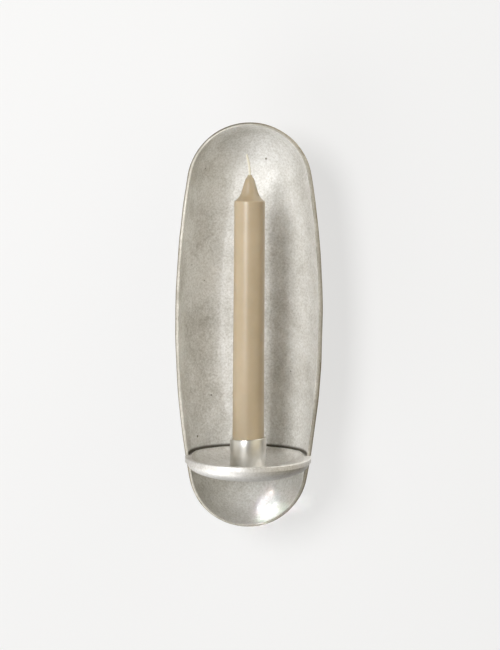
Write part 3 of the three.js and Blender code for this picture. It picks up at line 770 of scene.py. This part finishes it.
# %% Cast the pads on and drill them
PAD_RADIUS, SEAT_RADIUS = 5.5, 4.8
PLATE_HOLE, BUMPER_HOLE, SCREW_HOLE = 1.6, 1.9, 2.25
combine(dish, pad(PAD_RADIUS, root=-12.4, face=-2.3, x=PLATE_SCREW_X, z=PLATE_SCREW_Z), "UNION")
combine(dish, pad(PAD_RADIUS, root=-12.6, face=-4.1, x=BUMPER_X, z=BUMPER_Z), "UNION")
seat = drill(SEAT_RADIUS, start=-16.04, stop=-10.06, x=TRAY_SCREW_X, z=TRAY_SCREW_Z, steps=40)
combine(dish, seat, "UNION")
combine(dish, drill(PLATE_HOLE, start=-9.3, stop=-1, x=PLATE_SCREW_X, z=PLATE_SCREW_Z), "DIFFERENCE")
combine(dish, drill(BUMPER_HOLE, start=-9.2, stop=-3, x=BUMPER_X, z=BUMPER_Z), "DIFFERENCE")
combine(dish, drill(SCREW_HOLE, start=-18, stop=-8, x=TRAY_SCREW_X, z=TRAY_SCREW_Z), "DIFFERENCE")
print("dish with its pads:", len(dish.data.polygons), "faces")

# %% [markdown]
# ## Rubbed inside, left as cast outside
# Only what is seen is worked: the inside is rubbed down and the rim's front is filed. The rim's front gets a
# darker copy of the inside's metal, a painted shade that dims its bright reflection. The outside keeps the
# duller skin that the sand left. Its darker, browner colour is partly that skin and partly painted shade, and
# so it draws a thin dark line round the rim. Each finish has a material slot, and the faces for it are
# picked by their place and by the way they look.


# %% Two finishes
def on_outer_skin(centre, face):
    """True for a face behind the inside, or one that looks backwards or well outwards from the outline."""
    along = min(max(centre.z, low_centre_z), top_centre_z)
    outwards = face.normal.dot(Vector((centre.x, 0, centre.z - along)).normalized())
    looks_back = face.normal.y > 0.05 and outwards > -0.5
    return centre.y > RIM_Y + DEPTH + mm(1.6) or outwards > sin(radians(38)) or looks_back


def on_rim_front(centre, face):
    """True for a face of the rim that looks forward."""
    return centre.y < RIM_Y + mm(1.2) and face.normal.y < -0.5


dish.data.materials.clear()
for finish in (dish_metal, rim_metal_shaded, outer_metal_and_shade):
    dish.data.materials.append(finish)
take(dish, mode="EDIT")
for index, test in ((1, on_rim_front), (2, on_outer_skin)):
    dish.active_material_index = index
    print("faces", dish.data.materials[index].name, pick("FACE", test))
    bpy.ops.object.material_slot_assign()
done(dish, None, "sconce", "cast_aluminium", "back_dish")

# %% [markdown]
# ## The drip bowl
# The bowl's front stands out from the dish as half a circle, and its back follows the dish's inside with
# half a millimetre to spare. So its plan is traced: a copy of the dish's inner skin is bisected at the
# bowl's height, which leaves just the line where they meet, and a spun arc closes it in front.


# %% The plan
def plan(name, gap, radius, open_turn, height):
    """The bowl's outline as one face: the traced back, drawn in by a gap, and an arc about the cup's axis.

    `open_turn` is how far the arc goes past a half circle at each end.
    """
    back = copy_of(tracing, "back", (0, 0, 0))
    take(back, mode="EDIT")
    select_all()
    cut_z = TRAY_Z - mm(3)
    bpy.ops.mesh.bisect(plane_co=(0, 0, cut_z), plane_no=(0, 0, 1), clear_inner=True, clear_outer=True)
    select_all()
    bpy.ops.mesh.remove_doubles(threshold=mm(0.02))
    side = max(abs(v.co.x) for v in edit_mesh().verts)
    bpy.ops.transform.resize(value=(1 - gap / side, 1 - gap / DEPTH, 1), center_override=(0, RIM_Y, cut_z))
    bpy.ops.transform.translate(value=(0, 0, height - cut_z))
    front = begin(name, (-radius * cos(open_turn), AXIS_Y + radius * sin(open_turn), height))
    bpy.ops.mesh.spin(steps=72, angle=-(pi + 2 * open_turn), center=(0, AXIS_Y, height), axis=(0, 0, 1))
    take(front, back)
    bpy.ops.object.join()
    take(front, mode="EDIT")
    for sign in (-1, 1):
        pick("VERT", lambda at, v: len(v.link_edges) == 1 and at.x * sign > 0)
        bpy.ops.mesh.edge_face_add()
    select_all()
    bpy.ops.mesh.edge_face_add()
    return front


def sink_plan(levels):
    """Extrudes the plan down. Each level is [how far below the last, its size as a share of the last]."""
    pick("FACE", lambda centre, face: True)
    for drop, share in levels:
        bpy.ops.mesh.extrude_region_move(TRANSFORM_OT_translate={"value": (0, 0, -drop)})
        bpy.ops.transform.resize(value=(share, share, 1), center_override=(0, AXIS_Y, 0))
    tidy_mesh()


def curved_levels(depth, floor_share, steps):
    """Levels that follow a quarter of an oval down to a flat floor."""
    shares = [floor_share + (1 - floor_share) * cos(pi / 2 * i / steps) for i in range(steps + 1)]
    drops = [depth * sin(pi / 2 * i / steps) for i in range(steps + 1)]
    return [(drops[i + 1] - drops[i], shares[i + 1] / shares[i]) for i in range(steps)]


# %% The body of the bowl
TRAY_RADIUS, TRAY_DEEP = mm(44), mm(14.2)
LIP, LIP_STEP = mm(4), mm(0.3)
lap_turn = asin(mm(2.9) / TRAY_RADIUS)
bowl = plan("cast_drip_bowl", mm(0.6), TRAY_RADIUS, lap_turn, TRAY_Z)
sink_plan([(LIP - LIP_STEP, 1), (LIP_STEP, 0.975), *curved_levels(TRAY_DEEP - LIP, 0.36, 10)])
boss_section = [(0, 0), (4.5, 0), (4.8, 0.3), (4.8, 12), (0, 12)]
boss_place = (mm(TRAY_SCREW_X), mm(-28.14), mm(TRAY_SCREW_Z))
boss = turned("boss", boss_section, boss_place, along="back", steps=40)
combine(bowl, pair(boss, -2 * TRAY_SCREW_X), "UNION")
print("bowl body", len(bowl.data.polygons), "faces")

# %% [markdown]
# The hollow is a second, smaller plan, sunk in the same way and cut out with a Boolean. Its front is round,
# and where it meets the traced back its corners are rounded off, so that a finger or a cloth finds no edge
# in it.

# %% Hollow it out
BOSS_HOLE = 2.1
hollow = plan("hollow", mm(2.4), TRAY_RADIUS - mm(2.6), radians(-24), TRAY_Z + mm(1))
pick("VERT", lambda at, v: any(edge.calc_length() > mm(6) for edge in v.link_edges))
bpy.ops.mesh.bevel(offset=mm(5), segments=6, profile=0.5, affect="VERTICES")
sink_plan([(mm(1), 1), *curved_levels(mm(10.5), 0.4, 10)])
combine(bowl, hollow, "DIFFERENCE")
combine(bowl, drill(BOSS_HOLE, start=-21.14, stop=-15, x=TRAY_SCREW_X, z=TRAY_SCREW_Z), "DIFFERENCE")
hole_section = [(0, 0), (SCREW_HOLE, 0), (SCREW_HOLE, 8), (0, 8)]
combine(bowl, turned("hole", hole_section, (0, AXIS_Y, TRAY_Z - mm(16)), steps=24), "DIFFERENCE")
print("hollow bowl", len(bowl.data.polygons), "faces")


# %% Round the lip
LIP_OUTER_ROUND, LIP_INNER_ROUND = mm(0.8), mm(0.3)


def on_lip(edge):
    """True for one of the lip's two sharp edges."""
    return all(abs(v.co.z - TRAY_Z) < mm(0.02) for v in edge.verts) and abs(edge.calc_face_angle(0)) > 1


def away(centre, edge):
    """True if a face beside the edge looks away from the cup."""
    out = Vector((centre.x, centre.y - AXIS_Y, 0))
    return any(face.normal.dot(out) > mm(2) for face in edge.link_faces)


take(bowl, mode="EDIT")
print("lip's outer edge", pick("EDGE", lambda centre, edge: on_lip(edge) and away(centre, edge)))
bpy.ops.mesh.bevel(offset=LIP_OUTER_ROUND, segments=4, profile=0.5, affect="EDGES")
print("lip's inner edge", pick("EDGE", lambda centre, edge: on_lip(edge) and not away(centre, edge)))
bpy.ops.mesh.bevel(offset=LIP_INNER_ROUND, segments=2, profile=0.5, affect="EDGES")
uneven(bowl, 11, 0.35)
done(bowl, tray_metal, "sconce", "cast_aluminium", "drip_tray", smooth=40)
bpy.data.objects.remove(tracing)

# %% [markdown]
# ## The cup
# The cup is a short tube with a floor, turned from bar. Its mouth was cut a little out of square, so its
# right side stands higher than its left. That is one rotation of the mouth's points about a line from front
# to back.

# %% Cup
cup_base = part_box("candle_cup")[0].z
CUP_RADIUS, CUP_BORE, CUP_SCREW_HOLE = 12.65, 11.2, 2.1
CUP_HEIGHT, CUP_FLOOR, BELOW_MOUTH = 23.3, 3.2, 18
cup_section = [
    (CUP_SCREW_HOLE, 0), (CUP_RADIUS, 0), (CUP_RADIUS, BELOW_MOUTH), (CUP_RADIUS, CUP_HEIGHT),
    (CUP_BORE, CUP_HEIGHT), (CUP_BORE, BELOW_MOUTH), (CUP_BORE, CUP_FLOOR),
    (CUP_SCREW_HOLE, CUP_FLOOR), (CUP_SCREW_HOLE, 0),
]
cup = turned("turned_cup", cup_section, (0, AXIS_Y, cup_base), steps=80)
round_corners(0.4, 3)
MOUTH_TILT = radians(3.4)
mouth_z = cup_base + mm(CUP_HEIGHT)
pick("VERT", lambda at, v: at.z > mouth_z - mm(2))
bpy.ops.transform.rotate(value=MOUTH_TILT, orient_axis="Y", center_override=(0, AXIS_Y, mouth_z))
done(cup, cup_metal, "sconce", "turned_aluminium", "candle_cup")

# %% [markdown]
# ## The candle
# A dinner candle is slightly tapered. Its tip is pressed: a narrow flat shoulder, then a cone with hollow
# flanks that runs up into a thin collar of wax round the wick. The section is spun, and one level of
# subdivision rounds it as a hot mould does.

# %% Candle
candle_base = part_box("candle_wax")[0].z
WICK_HOLE, CANDLE_TOP = 1.05, 201.5
foot = [(9.9, 0), (10.6, 0.15), (10.95, 0.7), (11, 2)]
stem = [(11, 20), (10.8, 90), (10.56, 180), (10.55, 182.7)]
shoulder = [(10.5, 183.35), (10.15, 183.85), (9.5, 184.3), (8.6, 185), (7.35, 186.2), (6.4, 187.9)]
cone = [(5.7, 189.8), (5, 192.1), (4.35, 194.4), (3.7, 196.5), (3.05, 198.3), (2.5, 199.3), (1.95, 199.8)]
collar = [(1.7, 200.3), (1.6, 201), (1.5, 201.4), (WICK_HOLE, CANDLE_TOP), (WICK_HOLE, 199)]
candle_section = [(WICK_HOLE, 0), *foot, *stem, *shoulder, *cone, *collar, (WICK_HOLE, 0)]
candle = turned("pressed_candle", candle_section, (0, AXIS_Y, candle_base), steps=48)
modify(candle, "SUBSURF", levels=1, render_levels=1)
done(candle, wax, "candle", "wax", "candle_wax", smooth=50)

# %% [markdown]
# ## The wick
# A candle's wick is three cotton strands laid round each other. One strand is a small ring, extruded
# upwards and turned about the wick's axis a little each time. Three of them, each started a third of the way
# round from the last, make up the cord. Proportional editing bends its free end to the left, and each strand
# is drawn out to a point.

# %% Strands
WICK_LEAN, LEAN_REACH = mm(-2.1), mm(13)
WICK_Z = candle_base + mm(0.2)
wick_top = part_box("candle_wick")[1].z
STRAND, LAY = mm(0.47), mm(0.42)
TWIST, TWISTS = radians(30), 40
free_from = candle_base + mm(CANDLE_TOP)


def strand(start_turn):
    """One strand, which starts this far round the wick's axis."""
    place = (LAY * cos(start_turn), AXIS_Y + LAY * sin(start_turn), WICK_Z)
    piece = begin("strand", (place[0] + STRAND, place[1], WICK_Z))
    bpy.ops.mesh.spin(steps=8, angle=2 * pi, center=place, axis=(0, 0, 1))
    select_all()
    bpy.ops.mesh.remove_doubles(threshold=mm(0.01))
    bpy.ops.mesh.edge_face_add()
    pick("FACE", lambda centre, face: True)
    hidden = free_from - mm(3) - WICK_Z
    bpy.ops.mesh.extrude_region_move(TRANSFORM_OT_translate={"value": (0, 0, hidden)})
    rise_step = (wick_top - mm(1) - WICK_Z - hidden) / TWISTS
    for _ in range(TWISTS):
        bpy.ops.mesh.extrude_region_move(TRANSFORM_OT_translate={"value": (0, 0, rise_step)})
        bpy.ops.transform.rotate(value=TWIST, orient_axis="Z", center_override=(0, AXIS_Y, 0))
    bpy.ops.mesh.extrude_region_move(TRANSFORM_OT_translate={"value": (0, 0, mm(0.95))})
    bpy.ops.transform.resize(value=(0.25, 0.25, 1))
    tidy_mesh()
    leave_edit()
    return piece


wick, *twins = [strand(2 * pi * i / 3) for i in range(3)]
take(wick, *twins)
bpy.ops.object.join()
wick.name = wick.data.name = "cotton_wick"
take(wick, mode="EDIT")
pick("VERT", lambda at, v: at.z > wick_top - mm(1.5))
bpy.ops.transform.translate(
    value=(WICK_LEAN, 0, 0), use_proportional_edit=True,
    proportional_edit_falloff="SHARP", proportional_size=LEAN_REACH,
)
done(wick, cotton, "candle", "cotton_wick", "candle_wick", smooth=60)

# %% [markdown]
# ## Screws and washers
# The screws are bought in: a pan head with a cross recess, a plain shank and a chamfered tip. A screw is
# turned about Z with its tip upwards, and the two bars of the recess are cut out of its head.


# %% Screws
FORWARD = radians(-90)
PAN_RADIUS, PAN_HEIGHT, CHAMFER = 4, 2.4, 0.6
RECESS_SHARE, RECESS_DEPTH = 0.58, 1.15
WASHER_HOLE = 2.2


def block(name, low, high):
    """A box pulled out of one point: along, up, and back."""
    piece = begin(name, low)
    for axis in range(3):
        step = [0, 0, 0]
        step[axis] = high[axis] - low[axis]
        select_all()
        bpy.ops.mesh.extrude_region_move(TRANSFORM_OT_translate={"value": step})
    tidy_mesh()
    return piece


def screw(name, section, head, face, slot):
    """A screw about the origin, tip up. `face` is the height of its head's face, `slot` its recess's width."""
    piece = turned(name, section, (0, 0, 0), steps=40)
    round_corners(0.12, 2, sharper_than=40)
    for long, wide in ((head * RECESS_SHARE, slot / 2), (slot / 2, head * RECESS_SHARE)):
        bottom, top = mm(face - 1), mm(face + RECESS_DEPTH)
        bar = block("bar", (mm(-long), mm(-wide), bottom), (mm(long), mm(wide), top))
        pick("FACE", lambda centre, f: f.normal.z > 0.9)
        bpy.ops.transform.resize(value=(0.6, 0.6, 1))
        combine(piece, bar, "DIFFERENCE")
    return piece


def pan_section(length):
    """A pan-head screw: the domed head below, and the shank with its chamfered tip above."""
    dome = [(0, -PAN_HEIGHT), (1.5, -2.36), (2.7, -2.1), (3.5, -1.6), (3.9, -0.9), (PAN_RADIUS, -0.3)]
    return [*dome, (PAN_RADIUS, 0), (2, 0), (2, length - CHAMFER), (2 - CHAMFER, length), (0, length)]


def lay_down(piece, turn, place):
    """Lays a piece over about X and puts it in its place."""
    take(piece, mode="EDIT")
    select_all()
    if turn:
        bpy.ops.transform.rotate(value=turn, orient_axis="X", center_override=(0, 0, 0))
    bpy.ops.transform.translate(value=place)
    leave_edit()
    return piece


def washer(name, radius, thick, corner, centre, along="Z"):
    """A flat washer from its lower or front face, with its corners rounded a little."""
    section = [(WASHER_HOLE, 0), (radius, 0), (radius, thick), (WASHER_HOLE, thick), (WASHER_HOLE, 0)]
    piece = turned(name, section, centre, along=along, steps=48 if along == "Z" else 40)
    round_corners(corner, 2)
    return piece


# %% The cup's screw and washer
washer_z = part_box("cup_washer")[0].z
cup_washer = washer("flat_washer_under_bowl", 6, 1, 0.18, (0, AXIS_Y, washer_z))
done(cup_washer, zinc, "sconce", "zinc_steel", "cup_washer")
screw_low, screw_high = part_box("cup_screw")
under_head = screw_low.z + mm(PAN_HEIGHT)
cup_screw_section = pan_section(1000 * (screw_high.z - under_head))
cup_screw = screw("pan_screw_cup", cup_screw_section, PAN_RADIUS, -PAN_HEIGHT, 0.9)
lay_down(cup_screw, 0, (0, AXIS_Y, under_head))
done(cup_screw, zinc, "sconce", "zinc_steel", "cup_screw")

# %% The bowl's screws and washers
screw_low, screw_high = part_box("tray_screw_left")
head_y = screw_high.y - mm(PAN_HEIGHT)
bowl_screw_section = pan_section(1000 * (head_y - screw_low.y))
bowl_screw = screw("pan_screw_bowl_left", bowl_screw_section, PAN_RADIUS, -PAN_HEIGHT, 0.9)
lay_down(bowl_screw, FORWARD, (mm(TRAY_SCREW_X), head_y, mm(TRAY_SCREW_Z)))
washer_place = (mm(TRAY_SCREW_X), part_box("tray_washer_left")[0].y, mm(TRAY_SCREW_Z))
bowl_washer = washer("washer_bowl_left", 4.5, 0.8, 0.15, washer_place, along="back")
across = (mm(-2 * TRAY_SCREW_X), 0, 0)
done(copy_of(bowl_screw, "pan_screw_bowl_right", across), zinc, "sconce", "zinc_steel", "tray_screw_right")
done(copy_of(bowl_washer, "washer_bowl_right", across), zinc, "sconce", "zinc_steel", "tray_washer_right")
done(bowl_screw, zinc, "sconce", "zinc_steel", "tray_screw_left")
done(bowl_washer, zinc, "sconce", "zinc_steel", "tray_washer_left")

# %% [markdown]
# ## The hanger
# A steel plate with a keyhole hangs over a round-headed wall screw: the head goes in through the wide part
# and the sconce drops until the shank sits in the slot. The plate is a block with rounded corners, and
# drills and a milling cutter take out the rest.

# %% Hanger plate
SLOT_Z, ENTRY_Z = -5.4, -14.4
SLOT_HALF, ENTRY_HALF = 2.4, 4.8
BEFORE, BEHIND = -4, 2  # where a cutter starts and stops
PLATE_CORNER = mm(6)
plate_low, plate_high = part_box("hanger_plate")
plate = block("keyhole_plate", plate_low, plate_high)
pick("EDGE", lambda centre, edge: abs((edge.verts[0].co - edge.verts[1].co).y) > mm(1))
bpy.ops.mesh.bevel(offset=PLATE_CORNER, segments=10, profile=0.5, affect="EDGES")
round_corners(0.25, 2, sharper_than=60)
for radius, z in ((SLOT_HALF, SLOT_Z), (ENTRY_HALF, ENTRY_Z)):
    combine(plate, drill(radius, BEFORE, BEHIND, 0, z), "DIFFERENCE")
slot = block("slot", (mm(-SLOT_HALF), mm(BEFORE), mm(ENTRY_Z)), (mm(SLOT_HALF), mm(BEHIND), mm(SLOT_Z)))
combine(plate, slot, "DIFFERENCE")
sink_section = [(0, -1), (3.03, -1), (3.03, 0.15), (1.63, 1.85), (1.63, 3.2), (0, 3.2)]
sink = turned("sink", sink_section, (mm(PLATE_SCREW_X), 0, mm(PLATE_SCREW_Z)), along="forward", steps=32)
combine(plate, pair(sink, -2 * PLATE_SCREW_X), "DIFFERENCE")
done(plate, zinc, "sconce", "zinc_steel", "hanger_plate")

# %% Countersunk screws
FLAT_RADIUS = 2.9
screw_low, screw_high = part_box("hanger_screw_left")
length = 1000 * (screw_high.y - screw_low.y)
flat_head = [(0, 0), (FLAT_RADIUS, 0), (FLAT_RADIUS, 0.15), (1.5, 1.7)]
flat_section = [*flat_head, (1.5, length - CHAMFER), (1.5 - CHAMFER, length), (0, length)]
flat_screw = screw("countersunk_screw_left", flat_section, FLAT_RADIUS, 0, 0.7)
lay_down(flat_screw, FORWARD, (mm(PLATE_SCREW_X), screw_high.y, mm(PLATE_SCREW_Z)))
right_screw = copy_of(flat_screw, "countersunk_screw_right", (mm(-2 * PLATE_SCREW_X), 0, 0))
done(right_screw, zinc, "sconce", "zinc_steel", "hanger_screw_right")
done(flat_screw, zinc, "sconce", "zinc_steel", "hanger_screw_left")

# %% [markdown]
# ## The bumpers
# Two moulded rubber feet keep the lower end off the wall. Each has a dished face that grips, a rounded
# skirt and a stem with a barb that is pressed into the casting.

# %% Bumpers
bumper_section = [
    (0, 0.5), (2.4, 0.35), (3.6, 0), (4.3, 0.1), (5.1, 0.7), (5.45, 1.5), (5.5, 2.4), (5.5, 3.9),
    (5.4, 4), (1.8, 4), (1.8, 6.5), (1.85, 7), (1.6, 8.4), (1.2, 9), (0, 9),
]
bumper_place = (mm(BUMPER_X), 0, mm(BUMPER_Z))
bumper = turned("rubber_bumper_left", bumper_section, bumper_place, along="forward", steps=40)
right_bumper = copy_of(bumper, "rubber_bumper_right", (mm(-2 * BUMPER_X), 0, 0))
done(right_bumper, rubber, "sconce", "rubber", "wall_bumper_right")
done(bumper, rubber, "sconce", "rubber", "wall_bumper_left")
